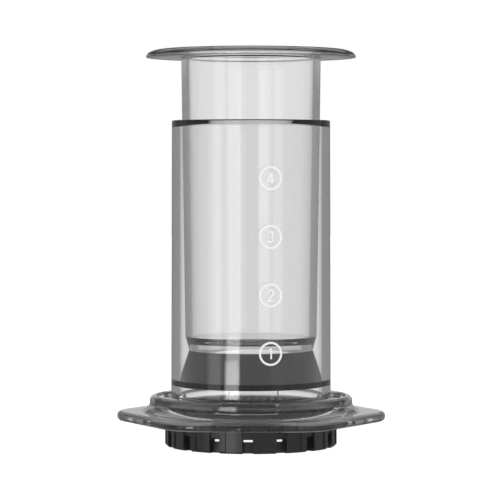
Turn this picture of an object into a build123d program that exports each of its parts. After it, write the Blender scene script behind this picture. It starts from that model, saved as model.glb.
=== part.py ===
from build123d import *
from math import cos, degrees, pi
import os

# Piston coffee press: a clear chamber with a hexagonal foot plate, a clear hollow
# plunger that carries a rubber seal, and a black filter cap with a bayonet catch.
# Millimetres, +Z up. The origin is on the table, on the axis, under the cap.

# Bore and the walls around it
bore_radius = 29.2
bore_length = 115.6
wall_at_rim = 3.2
wall_at_foot = 3.55
rim_round = 0.5
lead_in_width = 1.6
lead_in_height = 2.3
lead_in_round = 2.3

# Hexagonal plate and round collar at the foot of the chamber
plate_thickness = 3.95
plate_overhang = 8.4
plate_corner_round = 17.1
plate_edge_round = 1.7
plate_sides = 6
collar_height = 6.5
collar_wall = 2.7
collar_edge_round = 2.0
collar_foot_round = 4.0
collar_root_round = 0.8
collar_roof = 3.0

# Bayonet catch: lugs on the cap, ledges and stops in the chamber
lug_count = 4
lug_reach = 3.05
lug_thickness = 1.2
lug_sweep = 34.0
lug_side_gap = 0.5
lug_rest_gap = 0.15
lug_corner_round = 0.8
ledge_sweep = 40.0
ledge_side_gap = 0.65
stop_gap_angle = 0.5
slot_sweep = 38.0
slot_land = 0.3

# Filter cap
grip_height = 10.15
cap_seat_gap = 0.2
cap_shoulder_drop = 0.3
cap_land_overlap = 0.3
cap_shoulder_width = 2.25
cap_edge_chamfer = 0.9
strainer_thickness = 2.2
strainer_hole_radius = 1.05
strainer_hole_sides = 6
strainer_pitch = 3.9
strainer_margin = 4.6
block_count = 16
block_skin = 2.0
recess_width = 4.3
recess_floor = 6.1
recess_depth = 3.05
band_depth = 0.8
skirt_wall = 1.6
window_width = 3.7
window_height = 1.0
window_drop = 0.7
flank_width = 2.6
flank_height = 0.45
pocket_side_wall = 1.1

# Plunger
brew_gap = 7.3
plunger_length = 122.9
plunger_wall = 2.9
tube_gap_at_top = 0.65
tube_gap_at_foot = 2.25
neck_gap = 3.9
neck_length = 5.7
plunger_floor = 3.1
plunger_floor_round = 1.5
flange_width = 14.35
flange_thickness = 3.4
flange_crown_width = 7.0
flange_edge_land = 0.5
flange_edge_round = 0.25
flange_root_round = 0.8
mouth_round = 1.8
quarter_turn = 90.0

# Spigot under the plunger and the seal that snaps over it
seal_height = 14.4
seal_lip_gap = 0.05
seal_lip_height = 2.4
seal_lip_round = 0.35
seal_flare_height = 1.4
seal_waist_gap = 0.95
seal_waist_height = 1.0
seal_shoulder_gap = 1.1
seal_neck_step = 0.1
seal_core_height = 11.3
seal_fit = 0.2
seal_collar_wall = 4.5
spigot_wall = 2.5
spigot_length = 7.8
bead_reach = 0.7
bead_height = 1.0
bead_ramp = 0.8

# Levels above the table, from the foot upwards
plate_bottom = grip_height
plate_top = plate_bottom + plate_thickness
collar_top = plate_top + collar_height
lip_level = collar_top - collar_roof
rim_level = lip_level + bore_length
strainer_top = lip_level - cap_seat_gap
strainer_bottom = strainer_top - strainer_thickness
cap_shoulder = strainer_top - cap_shoulder_drop
lug_bottom = cap_shoulder - lug_thickness
ledge_top = lug_bottom - lug_rest_gap
seal_bottom = strainer_top + brew_gap
seal_top = seal_bottom + seal_height
neck_level = seal_top + seal_fit
flange_top = neck_level + plunger_length
flange_bottom = flange_top - flange_thickness

# Radii, from the bore outwards
rim_radius = bore_radius + wall_at_rim
foot_radius = bore_radius + wall_at_foot
cap_land_radius = foot_radius + cap_land_overlap
grip_radius = cap_land_radius + cap_shoulder_width
panel_radius = grip_radius - flank_height
band_radius = grip_radius - band_depth
recess_radius = grip_radius - recess_depth
skirt_radius = recess_radius - skirt_wall
pocket_radius = panel_radius - block_skin
lug_radius = grip_radius + lug_reach
socket_radius = lug_radius + lug_side_gap
ledge_radius = grip_radius + ledge_side_gap
slot_radius = foot_radius + collar_root_round + slot_land
collar_radius = socket_radius + collar_wall
collar_wall_middle = socket_radius + collar_wall / 2
plate_apothem = collar_radius + plate_overhang
plate_circumradius = plate_apothem / cos(pi / plate_sides)

# Radii of the plunger and seal, from the bore inwards
tube_top_radius = bore_radius - tube_gap_at_top
tube_foot_radius = bore_radius - tube_gap_at_foot
neck_radius = bore_radius - neck_gap
flange_radius = tube_top_radius + flange_width
seal_lip_radius = bore_radius - seal_lip_gap
seal_neck_radius = neck_radius - seal_neck_step
spigot_outer = seal_neck_radius - seal_collar_wall - seal_fit
spigot_inner = spigot_outer - spigot_wall
seal_core_radius = spigot_inner - seal_fit
bead_radius = spigot_outer + bead_reach

# Angles of the bayonet catch and of the cap's grip
block_pitch = 360.0 / block_count
recess_sweep = degrees(recess_width / grip_radius)
flank_sweep = degrees(flank_width / grip_radius)
pocket_wall_sweep = degrees(pocket_side_wall / pocket_radius)
stop_start = lug_sweep / 2 + stop_gap_angle
stop_sweep = ledge_sweep / 2 - stop_start
cut_overrun = 1.0


def ring_sector(inner_radius, outer_radius, middle_angle, sweep):
    """Flat face between two arcs about the axis, centred on middle_angle."""
    start = middle_angle - sweep / 2
    with BuildSketch() as sector:
        with BuildLine():
            near = CenterArc((0, 0), inner_radius, start, sweep)
            far = CenterArc((0, 0), outer_radius, start, sweep)
            Line(near @ 0, far @ 0)
            Line(near @ 1, far @ 1)
        make_face()
    return sector.sketch


def corner_at(radius, level):
    """The corner of the profile being drawn that lies nearest to this place."""
    return vertices().sort_by_distance((radius, level))[0]


# Chamber: one clear moulding of tube, collar and hexagonal plate. The socket under
# the collar has a flat roof, and the bore opens in it with a flat lip. Four ledges
# around the socket carry the cap's lugs, a stop at the end of each ledge ends the
# twist, and a slot through the collar lies over each ledge.
ledge_face = ring_sector(ledge_radius, collar_wall_middle, 0.0, ledge_sweep)
stop_face = ring_sector(
    ledge_radius, collar_wall_middle, stop_start + stop_sweep / 2, stop_sweep
)
slot_face = ring_sector(slot_radius, socket_radius, 0.0, slot_sweep)

with BuildPart() as chamber:
    with BuildSketch(Plane.XY.offset(plate_bottom)):
        RegularPolygon(radius=plate_circumradius, side_count=plate_sides)
        fillet(vertices(), radius=plate_corner_round)
    extrude(amount=plate_thickness)
    plate_rims = edges().group_by(Axis.Z)
    fillet(plate_rims[0] + plate_rims[-1], radius=plate_edge_round)

    with BuildSketch(Plane.XZ):
        with BuildLine():
            Polyline(
                (0, plate_bottom),
                (collar_radius, plate_bottom),
                (collar_radius, collar_top),
                (foot_radius, collar_top),
                (rim_radius, rim_level),
                (0, rim_level),
                close=True,
            )
        make_face()
        fillet(corner_at(rim_radius, rim_level), radius=rim_round)
        fillet(corner_at(foot_radius, collar_top), radius=collar_root_round)
        fillet(corner_at(collar_radius, collar_top), radius=collar_edge_round)
    revolve(axis=Axis.Z)
    collar_foot = (
        edges()
        .filter_by(GeomType.CIRCLE)
        .filter_by_position(Axis.Z, plate_top - rim_round, plate_top + rim_round)
        .sort_by(SortBy.RADIUS)[-1]
    )
    fillet(collar_foot, radius=collar_foot_round)

    with BuildSketch(Plane.XZ):
        with BuildLine():
            Polyline(
                (0, plate_bottom - cut_overrun),
                (socket_radius, plate_bottom - cut_overrun),
                (socket_radius, lip_level),
                (bore_radius, lip_level),
                (bore_radius, rim_level - lead_in_height),
                (bore_radius + lead_in_width, rim_level),
                (bore_radius + lead_in_width, rim_level + cut_overrun),
                (0, rim_level + cut_overrun),
                close=True,
            )
        make_face()
        fillet(corner_at(bore_radius, rim_level - lead_in_height), radius=lead_in_round)
    revolve(axis=Axis.Z, mode=Mode.SUBTRACT)
    with BuildSketch(Plane.XY.offset(ledge_top)):
        with PolarLocations(0, lug_count):
            add(slot_face)
    extrude(amount=collar_top - ledge_top + cut_overrun, mode=Mode.SUBTRACT)

    with BuildSketch(Plane.XY.offset(plate_bottom)):
        with PolarLocations(0, lug_count):
            add(ledge_face)
    extrude(amount=ledge_top - plate_bottom)
    with BuildSketch(Plane.XY.offset(ledge_top)):
        with PolarLocations(0, lug_count):
            add(stop_face)
    extrude(amount=lip_level - ledge_top)

chamber.part.label = "chamber"


# Filter cap: one black moulding. A perforated strainer plate on top presses the
# paper disc against the chamber's lip, four lugs catch over the ledges, and the
# skirt is a grip of blocks with a draining window in each recess between them.
lug_face = ring_sector(panel_radius, lug_radius, 0.0, lug_sweep)
flank_angle = (recess_sweep + flank_sweep) / 2
left_flank = ring_sector(recess_radius, grip_radius, flank_angle, flank_sweep)
right_flank = ring_sector(recess_radius, grip_radius, -flank_angle, flank_sweep)
band_face = ring_sector(band_radius, grip_radius + cut_overrun, 0.0, recess_sweep)
recess_face = ring_sector(recess_radius, grip_radius + cut_overrun, 0.0, recess_sweep)
pocket_sweep = block_pitch - recess_sweep - 2 * pocket_wall_sweep
pocket_face = ring_sector(
    skirt_radius - cut_overrun, pocket_radius, block_pitch / 2, pocket_sweep
)
strainer_radius = skirt_radius - strainer_margin
strainer_rows = int(2 * strainer_radius / strainer_pitch) + 2
strainer_spots = [
    spot
    for spot in HexLocations(strainer_pitch / 2, strainer_rows, strainer_rows)
    if spot.position.length < strainer_radius - strainer_hole_radius
]

with BuildPart() as filter_cap:
    with BuildSketch(Plane.XZ):
        with BuildLine():
            Polyline(
                (0, strainer_bottom),
                (skirt_radius, strainer_bottom),
                (skirt_radius, 0),
                (panel_radius, 0),
                (panel_radius, cap_shoulder),
                (cap_land_radius, cap_shoulder),
                (cap_land_radius, strainer_top),
                (0, strainer_top),
                close=True,
            )
        make_face()
    revolve(axis=Axis.Z)

    with BuildSketch():
        with PolarLocations(0, block_count):
            add(left_flank)
            add(right_flank)
    extrude(amount=lug_bottom)
    with BuildSketch(Plane.XY.offset(lug_bottom)):
        with PolarLocations(0, lug_count):
            add(lug_face)
        fillet(vertices().group_by(SortBy.DISTANCE)[-1], radius=lug_corner_round)
    extrude(amount=lug_thickness)
    with BuildSketch(Plane.XZ):
        with BuildLine():
            Polyline(
                (grip_radius - cap_edge_chamfer - cut_overrun, -cut_overrun),
                (grip_radius + cut_overrun, cap_edge_chamfer + cut_overrun),
                (grip_radius + cut_overrun, -cut_overrun),
                close=True,
            )
        make_face()
    revolve(axis=Axis.Z, mode=Mode.SUBTRACT)

    with BuildSketch(Plane.XY.offset(recess_floor)):
        with PolarLocations(0, block_count):
            add(band_face)
    extrude(amount=lug_bottom - recess_floor, mode=Mode.SUBTRACT)
    with BuildSketch():
        with PolarLocations(0, block_count):
            add(recess_face)
    extrude(amount=recess_floor, mode=Mode.SUBTRACT)

    with PolarLocations(recess_radius, block_count):
        with Locations((0, 0, recess_floor - window_drop)):
            Box(
                2 * skirt_wall + cut_overrun,
                window_width,
                window_height,
                align=(Align.CENTER, Align.CENTER, Align.MAX),
                mode=Mode.SUBTRACT,
            )
    with BuildSketch():
        with PolarLocations(0, block_count):
            add(pocket_face)
    extrude(amount=lug_bottom - block_skin, mode=Mode.SUBTRACT)

    with BuildSketch(Plane.XY.offset(strainer_bottom)):
        with Locations(*strainer_spots):
            RegularPolygon(radius=strainer_hole_radius, side_count=strainer_hole_sides)
    extrude(amount=strainer_thickness, mode=Mode.SUBTRACT)

filter_cap.part.label = "filter_cap"


# Plunger: a clear tube with a crowned hand flange around its open mouth. Its
# closed foot narrows to a neck, and a beaded spigot under it holds the seal.
neck_inner = neck_radius - plunger_wall
flange_edge_level = flange_bottom + flange_edge_land

with BuildPart() as plunger:
    with BuildSketch(Plane.XZ):
        with BuildLine():
            Polyline(
                (flange_radius - flange_crown_width, flange_top),
                (tube_top_radius - plunger_wall, flange_top),
                (tube_foot_radius - plunger_wall, neck_level + neck_length),
                (neck_inner, neck_level + plunger_floor),
                (0, neck_level + plunger_floor),
                (0, neck_level),
                (spigot_inner, neck_level),
                (spigot_inner, neck_level - spigot_length),
                (spigot_outer, neck_level - spigot_length),
                (bead_radius, neck_level - spigot_length + bead_ramp),
                (bead_radius, neck_level - spigot_length + bead_ramp + bead_height),
                (spigot_outer, neck_level - spigot_length + 2 * bead_ramp + bead_height),
                (spigot_outer, neck_level),
                (neck_radius, neck_level),
                (tube_foot_radius, neck_level + neck_length),
                (tube_top_radius, flange_bottom),
                (flange_radius, flange_bottom),
                (flange_radius, flange_edge_level),
            )
            EllipticalCenterArc(
                center=(flange_radius - flange_crown_width, flange_edge_level),
                x_radius=flange_crown_width,
                y_radius=flange_thickness - flange_edge_land,
                start_angle=0,
                arc_size=quarter_turn,
            )
        make_face()
        fillet(corner_at(flange_radius, flange_bottom), radius=flange_edge_round)
        fillet(corner_at(tube_top_radius, flange_bottom), radius=flange_root_round)
        fillet(corner_at(tube_top_radius - plunger_wall, flange_top), radius=mouth_round)
        fillet(corner_at(neck_inner, neck_level + plunger_floor), radius=plunger_floor_round)
    revolve(axis=Axis.Z)

plunger.part.label = "plunger"


# Seal: a dark rubber cone that flares to a wiping lip and snaps over the spigot.
seal_lip_top = seal_bottom + seal_lip_height
seal_flare_top = seal_lip_top + seal_flare_height
seal_waist_top = seal_flare_top + seal_waist_height
groove_floor = neck_level - spigot_length - seal_fit
groove_outer = spigot_outer + seal_fit
bead_groove_bottom = neck_level - spigot_length + bead_ramp - seal_fit
bead_groove_top = bead_groove_bottom + bead_height + 2 * seal_fit

with BuildPart() as seal:
    with BuildSketch(Plane.XZ):
        with BuildLine():
            Polyline(
                (0, seal_bottom),
                (seal_lip_radius, seal_bottom),
                (seal_lip_radius, seal_lip_top),
                (bore_radius - seal_waist_gap, seal_flare_top),
                (bore_radius - seal_shoulder_gap, seal_waist_top),
                (seal_neck_radius, seal_top),
                (groove_outer, seal_top),
                (groove_outer, bead_groove_top + bead_ramp),
                (bead_radius + seal_fit, bead_groove_top),
                (bead_radius + seal_fit, bead_groove_bottom),
                (groove_outer, groove_floor),
                (seal_core_radius, groove_floor),
                (seal_core_radius, seal_bottom + seal_core_height),
                (0, seal_bottom + seal_core_height),
                close=True,
            )
        make_face()
        fillet(corner_at(seal_lip_radius, seal_bottom), radius=seal_lip_round)
    revolve(axis=Axis.Z)

seal.part.label = "seal"


os.makedirs("parts", exist_ok=True)
export_step(chamber.part, "parts/chamber.step")
export_step(filter_cap.part, "parts/filter_cap.step")
export_step(plunger.part, "parts/plunger.step")
export_step(seal.part, "parts/seal.step")
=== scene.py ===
import math

import bpy
import numpy as np
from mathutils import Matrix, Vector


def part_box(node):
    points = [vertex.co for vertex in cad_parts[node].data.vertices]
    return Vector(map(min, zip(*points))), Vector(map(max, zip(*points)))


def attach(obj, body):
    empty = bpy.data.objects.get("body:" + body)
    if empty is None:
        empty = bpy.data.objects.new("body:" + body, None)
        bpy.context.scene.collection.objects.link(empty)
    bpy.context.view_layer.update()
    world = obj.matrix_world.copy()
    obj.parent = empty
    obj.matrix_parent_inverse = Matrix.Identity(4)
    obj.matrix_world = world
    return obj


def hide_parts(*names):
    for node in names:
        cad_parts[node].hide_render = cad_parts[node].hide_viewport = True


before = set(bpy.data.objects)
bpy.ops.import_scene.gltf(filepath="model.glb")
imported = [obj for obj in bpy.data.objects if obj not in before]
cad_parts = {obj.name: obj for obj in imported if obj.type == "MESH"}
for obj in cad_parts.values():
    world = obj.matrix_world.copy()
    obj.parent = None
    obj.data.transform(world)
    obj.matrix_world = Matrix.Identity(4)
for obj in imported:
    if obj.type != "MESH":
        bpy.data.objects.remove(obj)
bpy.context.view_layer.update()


# Chamber: one hard, clear moulding of tube, round collar and hexagonal foot plate.
# Inside the collar the tube ends in a flat lip, and four ledges with stops carry the
# cap's lugs. It is moulded in one shot with polished walls, so only its rounds catch light.
BORE_RADIUS = 0.0292
RIM_RADIUS = 0.0324
FOOT_RADIUS = 0.03275
RIM_ROUND = 0.0005
LEAD_IN_WIDTH = 0.0016
LEAD_IN_HEIGHT = 0.0023
LEAD_IN_ROUND = 0.0023
PLATE_THICKNESS = 0.00395
PLATE_EDGE_ROUND = 0.0017
PLATE_CORNER_ROUND = 0.0171
PLATE_SIDES = 6
COLLAR_RADIUS = 0.04155
COLLAR_HEIGHT = 0.0065
COLLAR_EDGE_ROUND = 0.0020
COLLAR_FOOT_ROUND = 0.0040
COLLAR_ROOT_ROUND = 0.0008
COLLAR_ROOF = 0.0030
SOCKET_RADIUS = 0.03885
LEDGE_RADIUS = 0.03595
LEDGE_HEIGHT = 0.0056
LEDGE_COUNT = 4
# Angles round the axis are in degrees, from the middle of a ledge.
LEDGE_HALF_SWEEP = 20.0
STOP_START = 17.5
SLOT_HALF_SWEEP = 19.0
SLOT_LAND = 0.0003
# A round has so many faces along its arc, and a wall a column of faces at each step in
# degrees. Points that agree to so many decimals of a metre become one.
ROUND_STEPS = 10
COLUMN_STEP = 1.0
MERGE_DECIMALS = 8
SHARP_ANGLE = math.radians(30.0)
LEVEL_TOLERANCE = 1e-6
WHITE = (1.0, 1.0, 1.0, 1.0)
CLEAR_IOR = 1.57
NOISE_LOW = 0.3
NOISE_HIGH = 0.7
# Each surface: its lowest and highest roughness and how many of their cells go to a metre,
# then the height of its relief in metres and the relief's cells to a metre.
POLISHED = ((0.0, 0.03), 260.0, 0.000004, 70.0)
SATIN = ((0.34, 0.44), 900.0, 0.000002, 900.0)

chamber_low, chamber_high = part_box("chamber")
plate_bottom = chamber_low[2]
rim_level = chamber_high[2]
plate_apothem = chamber_high[1]
plate_top = plate_bottom + PLATE_THICKNESS
collar_top = plate_top + COLLAR_HEIGHT
lip_level = collar_top - COLLAR_ROOF
ledge_top = plate_bottom + LEDGE_HEIGHT


def rounded(corners):
    """Closed outline through corners (radius, height, round): each round is an arc about the
    point that lies its own radius from both sides of the corner."""
    outline = []
    for before, corner, after in zip(corners[-1:] + corners[:-1], corners, corners[1:] + corners[:1]):
        place = np.array(corner[:2])
        if corner[2] == 0.0:
            outline.append(place[None])
            continue
        back = np.array(before[:2]) - place
        ahead = np.array(after[:2]) - place
        back /= np.linalg.norm(back)
        ahead /= np.linalg.norm(ahead)
        half = 0.5 * math.acos(float(back @ ahead))
        toward = (back + ahead) / np.linalg.norm(back + ahead)
        centre = place + toward * corner[2] / math.sin(half)
        first = place + back * corner[2] / math.tan(half) - centre
        last = place + ahead * corner[2] / math.tan(half) - centre
        turn = math.pi - 2.0 * half
        share = np.linspace(0.0, 1.0, ROUND_STEPS + 1)[:, None]
        bend = (np.sin((1.0 - share) * turn) * first + np.sin(share * turn) * last) / math.sin(turn)
        outline.append(centre + bend)
    return np.concatenate(outline)


def skin(name, grid):
    """Mesh over a grid of points (columns round the axis, points along the outline), closed
    both ways. Points at one place become one, faces without area are dropped, and so are
    pairs of faces that lie back to back."""
    columns, points = grid.shape[:2]
    near = np.round(grid.reshape(-1, 3), MERGE_DECIMALS)
    places, merged = np.unique(near, axis=0, return_inverse=True)
    merged = merged.reshape(columns, points)
    ahead = np.roll(merged, -1, axis=0)
    corners = np.stack([merged, ahead, np.roll(ahead, -1, axis=1), np.roll(merged, -1, axis=1)], axis=-1)
    corners = corners.reshape(-1, 4)
    unordered = np.sort(corners, axis=1)
    _, which, copies = np.unique(unordered, axis=0, return_inverse=True, return_counts=True)
    back_to_back = copies[which.ravel()] > 1
    kept = corners != np.roll(corners, 1, axis=1)
    flat = (corners[:, 0] == corners[:, 2]) | (corners[:, 1] == corners[:, 3])
    kept[(kept.sum(axis=1) < 3) | flat | back_to_back] = False
    sides = kept.sum(axis=1)
    sides = sides[sides > 0]
    mesh = bpy.data.meshes.new(name)
    mesh.vertices.add(len(places))
    mesh.vertices.foreach_set("co", places.ravel())
    mesh.loops.add(int(sides.sum()))
    mesh.loops.foreach_set("vertex_index", corners[kept])
    mesh.polygons.add(len(sides))
    mesh.polygons.foreach_set("loop_start", np.concatenate([[0], np.cumsum(sides)[:-1]]))
    mesh.update(calc_edges=True)
    mesh.validate()
    return put(name, mesh)


def put(name, mesh):
    """A piece in the scene, shaded smooth but for its sharp edges, with flats kept flat."""
    piece = bpy.data.objects.new(name, mesh)
    bpy.context.scene.collection.objects.link(piece)
    mesh.shade_smooth()
    mesh.set_sharp_from_angle(angle=SHARP_ANGLE)
    even = piece.modifiers.new("even_flats", "WEIGHTED_NORMAL")
    even.keep_sharp = True
    return piece


def turned(name, outline):
    """Outline of (radius, height) carried round the axis: x and y are the radius times the
    cosine and sine of the column's angle."""
    angle = np.radians(np.arange(0.0, 360.0, COLUMN_STEP))[:, None]
    radius = outline[None, :, 0]
    height = np.broadcast_to(outline[None, :, 1], (len(angle), len(outline)))
    return skin(name, np.stack([radius * np.cos(angle), radius * np.sin(angle), height], axis=-1))


def hexagon(angle, inset):
    """Distance from the axis to a hexagon with rounded corners, drawn in by the inset: the
    apothem over the cosine on a flat, and the far side of a circle about the corner's centre."""
    apothem = plate_apothem - inset
    corner_round = PLATE_CORNER_ROUND - inset
    half = math.pi / PLATE_SIDES
    off = np.abs((angle + half) % (2.0 * half) - half)
    centre = (apothem - corner_round) / math.cos(half)
    touch = np.arctan2(corner_round * math.sin(half), centre + corner_round * math.cos(half))
    flat = apothem / np.cos(half - off)
    bend = centre * np.cos(off) + np.sqrt(np.maximum(corner_round**2 - (centre * np.sin(off)) ** 2, 0.0))
    return np.where(off < touch, bend, flat)


def chamber_outline(ledge, stop, slot):
    """Section of the chamber where the ledge and the stop reach in to the given radii. In a
    slot the collar's top sinks to the socket's roof, and the two faces that meet there cancel."""
    slot_floor = lip_level if slot else collar_top
    slot_radius = FOOT_RADIUS + COLLAR_ROOT_ROUND + SLOT_LAND
    return rounded(
        [
            (ledge, plate_bottom, 0.0),
            (plate_apothem, plate_bottom, PLATE_EDGE_ROUND),
            (plate_apothem, plate_top, PLATE_EDGE_ROUND),
            (COLLAR_RADIUS, plate_top, COLLAR_FOOT_ROUND),
            (COLLAR_RADIUS, collar_top, COLLAR_EDGE_ROUND),
            (SOCKET_RADIUS, collar_top, 0.0),
            (SOCKET_RADIUS, slot_floor, 0.0),
            (stop, slot_floor, 0.0),
            (slot_radius, slot_floor, 0.0),
            (slot_radius, collar_top, 0.0),
            (FOOT_RADIUS, collar_top, COLLAR_ROOT_ROUND),
            (RIM_RADIUS, rim_level, RIM_ROUND),
            (BORE_RADIUS + LEAD_IN_WIDTH, rim_level, 0.0),
            (BORE_RADIUS, rim_level - LEAD_IN_HEIGHT, LEAD_IN_ROUND),
            (BORE_RADIUS, lip_level, 0.0),
            (slot_radius, lip_level, 0.0),
            (stop, lip_level, 0.0),
            (stop, ledge_top, 0.0),
            (ledge, ledge_top, 0.0),
        ]
    )


def chamber_surface():
    """Each stretch of angles between two borders has its own columns and outline, so a border
    has two columns at one angle, and the faces between them are a ledge's, stop's or slot's
    side. From the middle of the plate's flat top outwards, the points follow the hexagon."""
    free, ledge = SOCKET_RADIUS, LEDGE_RADIUS
    pitch = 360.0 / LEDGE_COUNT
    stretches = (
        (-LEDGE_HALF_SWEEP, -SLOT_HALF_SWEEP, chamber_outline(ledge, free, False)),
        (-SLOT_HALF_SWEEP, STOP_START, chamber_outline(ledge, free, True)),
        (STOP_START, SLOT_HALF_SWEEP, chamber_outline(ledge, ledge, True)),
        (SLOT_HALF_SWEEP, LEDGE_HALF_SWEEP, chamber_outline(ledge, ledge, False)),
        (LEDGE_HALF_SWEEP, pitch - LEDGE_HALF_SWEEP, chamber_outline(free, free, False)),
    )
    angles = []
    outlines = []
    for turn in range(LEDGE_COUNT):
        for start, end, outline in stretches:
            count = math.ceil((end - start) / COLUMN_STEP) + 1
            angles.append(np.linspace(start, end, count) + turn * pitch)
            outlines.append(np.broadcast_to(outline, (count,) + outline.shape))
    angle = np.radians(np.concatenate(angles))[:, None]
    outline = np.concatenate(outlines)
    radius = outline[..., 0]
    height = outline[..., 1]
    plate_middle = 0.5 * (plate_apothem - PLATE_EDGE_ROUND + COLLAR_RADIUS + COLLAR_FOOT_ROUND)
    radius = np.where(radius > plate_middle, hexagon(angle, plate_apothem - radius), radius)
    return np.stack([radius * np.cos(angle), radius * np.sin(angle), height], axis=-1)


def second_look(piece, material, wanted):
    """The material on those faces whose middle (distance from the axis, height) is wanted."""
    faces = piece.data.polygons
    middles = np.empty(3 * len(faces))
    faces.foreach_get("center", middles)
    across, along, height = middles.reshape(-1, 3).T
    index = np.where(wanted(np.hypot(across, along), height), 1, 0)
    piece.data.materials.append(material)
    faces.foreach_set("material_index", index.astype(np.int32))


def on_satin(radius, height):
    """The plate's underside, the ledges' tops and the socket's roof, left satin by the tool."""
    levels = (plate_bottom, ledge_top, lip_level)
    return np.min([np.abs(height - level) for level in levels], axis=0) < LEVEL_TOLERANCE


def wander(tree, cells, low, high):
    """Noise on the piece's own coordinates, stretched so that it runs from low to high."""
    place = tree.nodes.new("ShaderNodeTexCoord")
    noise = tree.nodes.new("ShaderNodeTexNoise")
    noise.inputs["Scale"].default_value = cells
    tree.links.new(place.outputs["Object"], noise.inputs["Vector"])
    stretch = tree.nodes.new("ShaderNodeMapRange")
    stretch.inputs["From Min"].default_value = NOISE_LOW
    stretch.inputs["From Max"].default_value = NOISE_HIGH
    stretch.inputs["To Min"].default_value = low
    stretch.inputs["To Max"].default_value = high
    tree.links.new(noise.outputs[0], stretch.inputs["Value"])
    return stretch.outputs[0]


def moulded(name, rough, rough_cells, relief, relief_cells):
    """Material of a moulded surface. Its roughness wanders between two values, and its relief
    rises and falls by a real height. Both follow a noise with so many cells to a metre."""
    material = bpy.data.materials.new(name)
    material.use_nodes = True
    tree = material.node_tree
    shader = tree.nodes["Principled BSDF"]
    tree.links.new(wander(tree, rough_cells, *rough), shader.inputs["Roughness"])
    bump = tree.nodes.new("ShaderNodeBump")
    bump.inputs["Distance"].default_value = relief
    tree.links.new(wander(tree, relief_cells, 0.0, 1.0), bump.inputs["Height"])
    tree.links.new(bump.outputs["Normal"], shader.inputs["Normal"])
    return material


def clear_plastic(name, surface):
    """Colourless hard plastic, which only its edges and rounds make visible."""
    material = moulded(name, *surface)
    shader = material.node_tree.nodes["Principled BSDF"]
    shader.inputs["Base Color"].default_value = WHITE
    shader.inputs["IOR"].default_value = CLEAR_IOR
    shader.inputs["Transmission Weight"].default_value = 1.0
    return material


clear_look = clear_plastic("clear_plastic_look", POLISHED)
chamber = skin("chamber_body", chamber_surface())
chamber.data.materials.append(clear_look)
second_look(chamber, clear_plastic("clear_satin_look", SATIN), on_satin)
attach(chamber, "chamber")
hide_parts("chamber")


# Plunger: one clear moulding, a tapering tube with a crowned hand flange round its open
# mouth. Its closed foot narrows to a neck, with a beaded spigot under it for the seal.
TUBE_TOP_RADIUS = 0.02855
TUBE_FOOT_RADIUS = 0.02695
TUBE_WALL = 0.0029
NECK_RADIUS = 0.0253
NECK_LENGTH = 0.0057
PLUNGER_FLOOR = 0.0031
PLUNGER_FLOOR_ROUND = 0.0015
FLANGE_THICKNESS = 0.0034
FLANGE_CROWN_WIDTH = 0.0070
FLANGE_EDGE_LAND = 0.0005
FLANGE_EDGE_ROUND = 0.00025
FLANGE_ROOT_ROUND = 0.0008
MOUTH_ROUND = 0.0018
SPIGOT_OUTER = 0.0205
SPIGOT_INNER = 0.0180
SPIGOT_LENGTH = 0.0078
BEAD_REACH = 0.0007
BEAD_HEIGHT = 0.0010
BEAD_RAMP = 0.0008

plunger_low, plunger_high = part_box("plunger")
flange_radius = plunger_high[0]
flange_top = plunger_high[2]
flange_bottom = flange_top - FLANGE_THICKNESS
spigot_bottom = plunger_low[2]
neck_level = spigot_bottom + SPIGOT_LENGTH


def flange_crown():
    """Top of the flange: a quarter of an ellipse from its edge up to the flat round the mouth."""
    turn = np.linspace(0.0, 0.5 * math.pi, 2 * ROUND_STEPS + 1)
    radius = flange_radius - FLANGE_CROWN_WIDTH * (1.0 - np.cos(turn))
    edge_level = flange_bottom + FLANGE_EDGE_LAND
    height = edge_level + (flange_top - edge_level) * np.sin(turn)
    return list(zip(radius, height, np.zeros(len(turn))))


def plunger_outline():
    """Section of the plunger from the axis under its floor, round the flange, back to the axis."""
    bead_low = spigot_bottom + BEAD_RAMP
    bead_high = bead_low + BEAD_HEIGHT
    bead_radius = SPIGOT_OUTER + BEAD_REACH
    return rounded(
        [
            (0.0, neck_level, 0.0),
            (SPIGOT_INNER, neck_level, 0.0),
            (SPIGOT_INNER, spigot_bottom, 0.0),
            (SPIGOT_OUTER, spigot_bottom, 0.0),
            (bead_radius, bead_low, 0.0),
            (bead_radius, bead_high, 0.0),
            (SPIGOT_OUTER, bead_high + BEAD_RAMP, 0.0),
            (SPIGOT_OUTER, neck_level, 0.0),
            (NECK_RADIUS, neck_level, 0.0),
            (TUBE_FOOT_RADIUS, neck_level + NECK_LENGTH, 0.0),
            (TUBE_TOP_RADIUS, flange_bottom, FLANGE_ROOT_ROUND),
            (flange_radius, flange_bottom, FLANGE_EDGE_ROUND),
            *flange_crown(),
            (TUBE_TOP_RADIUS - TUBE_WALL, flange_top, MOUTH_ROUND),
            (TUBE_FOOT_RADIUS - TUBE_WALL, neck_level + NECK_LENGTH, 0.0),
            (NECK_RADIUS - TUBE_WALL, neck_level + PLUNGER_FLOOR, PLUNGER_FLOOR_ROUND),
            (0.0, neck_level + PLUNGER_FLOOR, 0.0),
        ]
    )


plunger = turned("plunger_tube", plunger_outline())
plunger.data.materials.append(clear_look)
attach(plunger, "plunger")
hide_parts("plunger")


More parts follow.
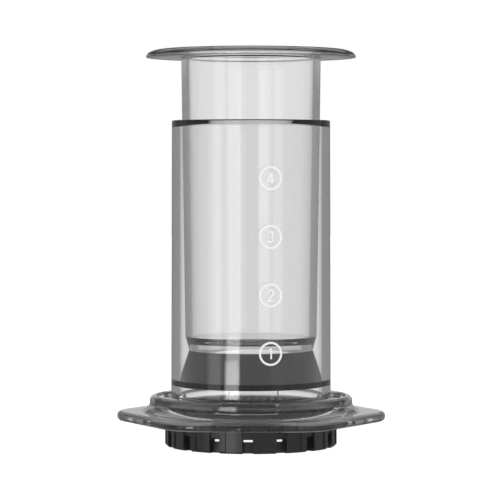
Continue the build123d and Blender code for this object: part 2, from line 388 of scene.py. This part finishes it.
# Seal: a dark rubber cone that snaps over the spigot. It narrows to a waist above the
# lip that wipes the bore. Where the lip is pressed on the bore no air is left between them.
SEAL_LIP_PRESS = 0.00002
SEAL_LIP_HEIGHT = 0.0024
SEAL_LIP_ROUND = 0.00035
SEAL_FLARE_HEIGHT = 0.0014
SEAL_WAIST_GAP = 0.00030
SEAL_WAIST_HEIGHT = 0.0010
SEAL_SHOULDER_GAP = 0.00050
SEAL_NECK_RADIUS = 0.0254
SEAL_CORE_HEIGHT = 0.0113
SEAL_CORE_RADIUS = 0.0178
SEAL_FIT = 0.0002
RUBBER = ((0.55, 0.68), 900.0, 0.000012, 2600.0)
CONE_GREYS = (0.078, 0.094)
CONE_GLOSS = 0.2
# The lip is the same rubber as the cone, painted darker and without a sheen as painted shade.
LIP_SHADE_GREYS = (0.027, 0.034)
LIP_SHADE_GLOSS = 0.0
RUBBER_GREY_CELLS = 700.0

seal_low, seal_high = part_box("seal")
seal_bottom = seal_low[2]
seal_top = seal_high[2]
seal_lip_top = seal_bottom + SEAL_LIP_HEIGHT


def seal_outline():
    """Section of the seal from the axis at its flat foot, up its outside, and down again
    round the groove that takes the spigot."""
    lip_radius = BORE_RADIUS + SEAL_LIP_PRESS
    flare_top = seal_lip_top + SEAL_FLARE_HEIGHT
    groove = SPIGOT_OUTER + SEAL_FIT
    return rounded(
        [
            (0.0, seal_bottom, 0.0),
            (lip_radius, seal_bottom, SEAL_LIP_ROUND),
            (lip_radius, seal_lip_top, 0.0),
            (BORE_RADIUS - SEAL_WAIST_GAP, flare_top, 0.0),
            (BORE_RADIUS - SEAL_SHOULDER_GAP, flare_top + SEAL_WAIST_HEIGHT, 0.0),
            (SEAL_NECK_RADIUS, seal_top, 0.0),
            (groove + BEAD_REACH, seal_top, 0.0),
            (groove + BEAD_REACH, spigot_bottom - SEAL_FIT, 0.0),
            (SEAL_CORE_RADIUS, spigot_bottom - SEAL_FIT, 0.0),
            (SEAL_CORE_RADIUS, seal_bottom + SEAL_CORE_HEIGHT, 0.0),
            (0.0, seal_bottom + SEAL_CORE_HEIGHT, 0.0),
        ]
    )


def dark(name, greys, grey_cells, gloss, surface):
    """Moulded dark material: its grey wanders between two levels, and its gloss is even."""
    material = moulded(name, *surface)
    tree = material.node_tree
    shader = tree.nodes["Principled BSDF"]
    tree.links.new(wander(tree, grey_cells, *greys), shader.inputs["Base Color"])
    shader.inputs["Specular IOR Level"].default_value = gloss
    return material


def on_shaded_lip(radius, height):
    """The lip's outside where it meets the bore, given darker greys and no sheen as painted shade."""
    return (height < seal_lip_top) & (radius > BORE_RADIUS - SEAL_LIP_ROUND)


seal = turned("seal_cone", seal_outline())
seal.data.materials.append(dark("seal_look", CONE_GREYS, RUBBER_GREY_CELLS, CONE_GLOSS, RUBBER))
second_look(seal, dark("seal_lip_shade_look", LIP_SHADE_GREYS, RUBBER_GREY_CELLS, LIP_SHADE_GLOSS, RUBBER), on_shaded_lip)
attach(seal, "plunger")
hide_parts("seal")


# Filter cap: one black moulding with a fine grain. Its strainer, lugs and ribbed blocks keep
# the construction's shape, and its edges are broken by a small round that catches the light.
CAP_GRAIN = ((0.30, 0.38), 1300.0, 0.000010, 2400.0)
CAP_GREYS = (0.011, 0.016)
CAP_GREY_CELLS = 450.0
CAP_GLOSS = 0.5
CAP_EDGE_ROUND = 0.00025


def cap_plastic():
    """Black plastic whose edges are shaded as rounds of a real radius, with the grain on top."""
    material = dark("cap_look", CAP_GREYS, CAP_GREY_CELLS, CAP_GLOSS, CAP_GRAIN)
    tree = material.node_tree
    edges = tree.nodes.new("ShaderNodeBevel")
    edges.inputs["Radius"].default_value = CAP_EDGE_ROUND
    tree.links.new(edges.outputs[0], tree.nodes["Bump"].inputs["Normal"])
    return material


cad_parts["filter_cap"].material_slots[0].material = cap_plastic()


# Marks: the filling steps 1 to 4, each a numeral in a circle, printed on the outside of
# the chamber in white ink. They stand one above another a little right of the middle.
MARK_TURN = math.radians(16.0)
MARK_HEIGHTS = (0.0398, 0.0631, 0.0864, 0.1098)
MARK_RADIUS = 0.00480
MARK_LINE = 0.00085
NUMERAL_HEIGHT = 0.0042
NUMERAL_LINE = 0.00068
ARC_STEPS = 24
STROKE_CUTS = 6
CIRCLE_STEPS = 64
MITRE_LIMIT = 1.5
INK_RISE = 0.00003
INK_THICKNESS = 0.00002
INK = ((0.45, 0.6), 2000.0, 0.000002, 3000.0)
INK_LEVELS = (0.80, 0.88)
INK_LEVEL_CELLS = 900.0


def printed(name, mesh):
    """Bend a flat drawing (x to the right, y up) round the chamber's wall: the angle is the
    distance to the right over the radius, and the radius is the wall's at that height."""
    flat = np.empty(len(mesh.vertices) * 3)
    mesh.vertices.foreach_get("co", flat)
    right, up = flat.reshape(-1, 3)[:, :2].T
    share = (up - collar_top) / (rim_level - collar_top)
    radius = FOOT_RADIUS + (RIM_RADIUS - FOOT_RADIUS) * share + INK_RISE
    turn = MARK_TURN + right / radius
    bent = np.stack([radius * np.sin(turn), -radius * np.cos(turn), up], axis=-1)
    mesh.vertices.foreach_set("co", bent.ravel())
    mesh.update()
    piece = bpy.data.objects.new(name, mesh)
    bpy.context.scene.collection.objects.link(piece)
    film = piece.modifiers.new("film", "SOLIDIFY")
    film.thickness = INK_THICKNESS
    return piece


def arc(right, up, radius, start, end):
    """Points on a circle about a centre, where the angle runs from start to end in degrees."""
    turn = np.radians(np.linspace(start, end, ARC_STEPS + 1))
    return np.stack([right + radius * np.cos(turn), up + radius * np.sin(turn)], axis=-1)


def numeral_shares():
    """The strokes of the numerals 1 to 4 as lines of points, in shares of the numeral's
    height, from its middle to the right and up."""
    return (
        (np.array([(-0.16, 0.30), (0.04, 0.50), (0.04, -0.50)]),),
        (np.concatenate([arc(0.0, 0.23, 0.27, 165.0, -35.0), [(-0.27, -0.50), (0.29, -0.50)]]),),
        (arc(-0.02, 0.25, 0.25, 150.0, -90.0), arc(-0.02, -0.25, 0.25, 90.0, -150.0)),
        (
            np.array([(0.29, -0.22), (-0.29, -0.22), (0.08, 0.50)]),
            np.array([(0.12, 0.50), (0.12, -0.50)]),
        ),
    )


def numeral_mesh(strokes, height):
    """Flat bands of ink along the strokes. Each stroke is cut fine, and its two edges lie half a
    line to the left and right of it, along the sum of the directions across its two neighbours."""
    bands = []
    faces = []
    share = np.arange(STROKE_CUTS)[:, None] / STROKE_CUTS
    for stroke in strokes:
        points = stroke * NUMERAL_HEIGHT + np.array([0.0, height])
        cut = points[:-1, None] + (points[1:] - points[:-1])[:, None] * share
        points = np.concatenate([cut.reshape(-1, 2), points[-1:]])
        along = np.diff(points, axis=0)
        across = np.stack([-along[:, 1], along[:, 0]], axis=-1) / np.linalg.norm(along, axis=1)[:, None]
        both = np.concatenate([across[:1], across]) + np.concatenate([across, across[-1:]])
        reach = both * NUMERAL_LINE / np.maximum((both**2).sum(axis=1), MITRE_LIMIT)[:, None]
        edges = np.stack([points - reach, points + reach], axis=1).reshape(-1, 2)
        first = sum(len(band) for band in bands) + 2 * np.arange(len(points) - 1)
        bands.append(np.pad(edges, ((0, 0), (0, 1))))
        faces += np.stack([first, first + 2, first + 3, first + 1], axis=-1).tolist()
    mesh = bpy.data.meshes.new("numeral")
    mesh.from_pydata(np.concatenate(bands).tolist(), [], faces)
    return mesh


def circle_mesh(height):
    """Ring of ink: the angle runs round it, and the radius steps from its inside to its outside."""
    turn = np.linspace(0.0, 2.0 * math.pi, CIRCLE_STEPS, endpoint=False)
    radius = np.array([MARK_RADIUS - MARK_LINE, MARK_RADIUS])[:, None]
    right = radius * np.cos(turn)
    up = height + radius * np.sin(turn)
    flat = np.stack([right, up, np.zeros_like(up)], axis=-1)
    index = np.arange(CIRCLE_STEPS)
    ahead = (index + 1) % CIRCLE_STEPS
    faces = np.stack([index, index + CIRCLE_STEPS, ahead + CIRCLE_STEPS, ahead], axis=-1)
    mesh = bpy.data.meshes.new("circle")
    mesh.from_pydata(flat.reshape(-1, 3).tolist(), [], faces.tolist())
    return mesh


def printing_ink():
    """White printing ink, matt, with a faint unevenness where the print took less well."""
    material = moulded("ink_look", *INK)
    tree = material.node_tree
    level = wander(tree, INK_LEVEL_CELLS, *INK_LEVELS)
    tree.links.new(level, tree.nodes["Principled BSDF"].inputs["Base Color"])
    return material


ink_look = printing_ink()
for step, (height, strokes) in enumerate(zip(MARK_HEIGHTS, numeral_shares()), start=1):
    for part, mesh in (("circle", circle_mesh(height)), ("numeral", numeral_mesh(strokes, height))):
        piece = printed(f"{part}_{step}", mesh)
        piece.data.materials.append(ink_look)
        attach(piece, "chamber")


# Camera: it stands where the photograph was taken from, level with the upper half of the
# press and two degrees to its right, and is aimed so that the axis falls on its column.
PHOTO_SIDE = 500
CAMERA_DISTANCE = 1.050
CAMERA_HEIGHT = 0.116
CAMERA_AZIMUTH = math.radians(2.07)
FOCAL_PIXELS = 2561.0
HORIZON_PIXEL_Y = 162.5
AXIS_PIXEL_X = 251.0
SENSOR_WIDTH = 36.0
CLIP_START = 0.05
CLIP_END = 20.0


def photo_camera():
    """Camera on a circle about the axis. Its pitch and yaw are the angles whose tangents are
    the pixels from the photograph's middle to the horizon and to the axis, over the focal length."""
    data = bpy.data.cameras.new("camera")
    data.sensor_width = SENSOR_WIDTH
    data.lens = FOCAL_PIXELS * SENSOR_WIDTH / PHOTO_SIDE
    data.clip_start = CLIP_START
    data.clip_end = CLIP_END
    camera = bpy.data.objects.new("camera", data)
    bpy.context.scene.collection.objects.link(camera)
    camera.location = (
        CAMERA_DISTANCE * math.sin(CAMERA_AZIMUTH),
        -CAMERA_DISTANCE * math.cos(CAMERA_AZIMUTH),
        CAMERA_HEIGHT,
    )
    pitch = math.atan((PHOTO_SIDE / 2 - HORIZON_PIXEL_Y) / FOCAL_PIXELS)
    yaw = math.atan((AXIS_PIXEL_X - PHOTO_SIDE / 2) / FOCAL_PIXELS)
    camera.rotation_euler = (math.pi / 2 - pitch, 0.0, CAMERA_AZIMUTH + yaw)
    bpy.context.scene.camera = camera


photo_camera()
bpy.context.scene.view_settings.view_transform = "Standard"


# Studio: white behind the press for the camera, and an even light all round for matt surfaces.
# Rays straight through clear plastic see a pale sweep with a brighter backdrop about eye level.
# Mirrored rays see a darker room with soft lights. All its angles are in degrees.
CAMERA_LEVEL = 1.0
FILL_LEVEL = 1.0
ALL_ROUND = 181.0
NADIR = -90.0
SWEEP_TOP = 14.0
SWEEP_SOFTNESS = 6.0
SWEEP_LEVEL = 0.68
BACKDROP_BOTTOM = -10.0
BACKDROP_TOP = 10.0
BACKDROP_SOFTNESS = 1.0
BACKDROP_LEVEL = 0.12
ROOM_LEVEL = 0.20
SIDE_SOFTNESS = 2.0
# Each soft light: its middle round the press from straight behind, half its width,
# its lowest and highest place above the horizon, the softness of those, and its level.
STUDIO_LIGHTS = (
    (0.0, ALL_ROUND, 24.0, 91.0, 2.0, 0.30),
    (0.0, 25.0, 24.0, 45.0, 2.0, 0.45),
    (0.0, ALL_ROUND, -22.0, 10.0, 1.0, 0.07),
    (-84.0, 30.0, -22.0, 10.0, 1.0, 0.15),
    (90.5, 36.5, -22.0, 10.0, 1.0, 0.22),
    (-127.0, 10.5, -22.0, 10.0, 1.0, 0.85),
    (-154.5, 11.5, -22.0, 10.0, 1.0, 0.95),
    (160.0, 33.0, -22.0, 10.0, 1.0, 0.13),
    (159.0, 8.3, -3.9, 10.0, 0.3, 0.45),
    (138.5, 10.0, -22.0, 10.0, 1.0, 0.15),
    (0.0, 40.0, 2.0, 10.0, 0.7, 0.25),
)
# The low window is the one bright light, laid out like the others. Only the outermost wall
# mirrors it: a ray that has crossed more faces of plastic than this doesn't see it.
LOW_WINDOW = (-154.3, 9.8, -22.0, -4.12, 0.08)
LOW_WINDOW_LEVEL = 3.8
OUTERMOST_WALL_FACES = 2.5
# A ray whose count of bounces is above this has bounced in that way.
ONE_BOUNCE = 0.5

studio = bpy.data.worlds.new("studio")
bpy.context.scene.world = studio
studio.use_nodes = True
studio.cycles.sampling_method = "NONE"
sky = studio.node_tree
sky.nodes.clear()


def feed(node, sockets, values):
    """Set the numbers on the node's sockets and link the outputs of other nodes to them."""
    for socket, value in zip(sockets, values):
        if isinstance(value, float):
            socket.default_value = value
        else:
            sky.links.new(value, socket)
    return node.outputs[0]


def compute(operation, *values):
    """One step of arithmetic on numbers and the outputs of other nodes."""
    node = sky.nodes.new("ShaderNodeMath")
    node.operation = operation
    return feed(node, node.inputs, values)


def blend(share, first, second):
    """The first value where the share is 0, and the second where it is 1."""
    node = sky.nodes.new("ShaderNodeMix")
    return feed(node, node.inputs[:1] + node.inputs[2:4], (share, first, second))


def soft_step(value, place, softness):
    """0 below the place and 1 above it, changing smoothly within the softness on both sides."""
    node = sky.nodes.new("ShaderNodeMapRange")
    node.interpolation_type = "SMOOTHSTEP"
    sockets = (node.inputs["Value"], node.inputs["From Min"], node.inputs["From Max"])
    return feed(node, sockets, (value, place - softness, place + softness))


path = sky.nodes.new("ShaderNodeLightPath")
coordinates = sky.nodes.new("ShaderNodeTexCoord")
direction = sky.nodes.new("ShaderNodeSeparateXYZ")
sky.links.new(coordinates.outputs["Generated"], direction.inputs[0])
azimuth = compute("DEGREES", compute("ARCTAN2", direction.outputs["X"], direction.outputs["Y"]))
elevation = compute("DEGREES", compute("ARCSINE", direction.outputs["Z"]))


def panel(middle, half_width, lowest, highest, softness):
    """1 inside a stretch of azimuths and elevations with soft edges, and 0 outside it."""
    apart = compute("ABSOLUTE", compute("WRAP", compute("SUBTRACT", azimuth, middle), 180.0, -180.0))
    inside = compute("SUBTRACT", 1.0, soft_step(apart, half_width, SIDE_SOFTNESS))
    above = soft_step(elevation, lowest, softness)
    below = compute("SUBTRACT", 1.0, soft_step(elevation, highest, softness))
    return compute("MULTIPLY", compute("MULTIPLY", inside, above), below)


def seen_straight():
    """The sweep and the backdrop, as rays straight through clear plastic see them."""
    backdrop = panel(0.0, ALL_ROUND, BACKDROP_BOTTOM, BACKDROP_TOP, BACKDROP_SOFTNESS)
    sweep = panel(0.0, ALL_ROUND, NADIR, SWEEP_TOP, SWEEP_SOFTNESS)
    return compute("MULTIPLY_ADD", backdrop, BACKDROP_LEVEL, compute("MULTIPLY", sweep, SWEEP_LEVEL))


def seen_mirrored():
    """The room, with each light added at its own level."""
    room = ROOM_LEVEL
    for *place, level in STUDIO_LIGHTS:
        room = compute("MULTIPLY_ADD", panel(*place), level, room)
    outermost = compute("LESS_THAN", path.outputs["Transmission Depth"], OUTERMOST_WALL_FACES)
    low_window = compute("MULTIPLY", panel(*LOW_WINDOW), outermost)
    return compute("MULTIPLY_ADD", low_window, LOW_WINDOW_LEVEL, room)


def light_studio():
    """The world's strength by the kind of ray: camera first, then matt, mirrored and straight."""
    mirrored = compute("GREATER_THAN", path.outputs["Glossy Depth"], ONE_BOUNCE)
    scattered = compute("GREATER_THAN", path.outputs["Diffuse Depth"], ONE_BOUNCE)
    other = blend(scattered, blend(mirrored, seen_straight(), seen_mirrored()), FILL_LEVEL)
    background = sky.nodes.new("ShaderNodeBackground")
    background.inputs["Color"].default_value = WHITE
    sky.links.new(blend(path.outputs["Is Camera Ray"], other, CAMERA_LEVEL), background.inputs["Strength"])
    output = sky.nodes.new("ShaderNodeOutputWorld")
    sky.links.new(background.outputs[0], output.inputs[0])


light_studio()


# Floor: a broad sheet of white paper at the table's height. Its own glow makes it white,
# and its matt share takes the soft shadow under the cap.
FLOOR_REACH = 3.0
FLOOR_GLOW = 0.96
FLOOR_GREY = (0.2, 0.2, 0.2, 1.0)


def paper():
    """Glow and matt surface added together."""
    material = bpy.data.materials.new("floor_paper")
    material.use_nodes = True
    tree = material.node_tree
    tree.nodes.clear()
    glow = tree.nodes.new("ShaderNodeEmission")
    glow.inputs["Strength"].default_value = FLOOR_GLOW
    matt = tree.nodes.new("ShaderNodeBsdfDiffuse")
    matt.inputs["Color"].default_value = FLOOR_GREY
    both = tree.nodes.new("ShaderNodeAddShader")
    tree.links.new(glow.outputs[0], both.inputs[0])
    tree.links.new(matt.outputs[0], both.inputs[1])
    output = tree.nodes.new("ShaderNodeOutputMaterial")
    tree.links.new(both.outputs[0], output.inputs[0])
    return material


def floor():
    """A flat square about the press. Clear plastic shows the studio in its place."""
    mesh = bpy.data.meshes.new("floor")
    corners = [(FLOOR_REACH * x, FLOOR_REACH * y, 0.0) for x, y in ((-1, -1), (1, -1), (1, 1), (-1, 1))]
    mesh.from_pydata(corners, [], [(0, 1, 2, 3)])
    mesh.materials.append(paper())
    sheet = bpy.data.objects.new("floor", mesh)
    bpy.context.scene.collection.objects.link(sheet)
    sheet.visible_transmission = False
    sheet.visible_glossy = False


floor()
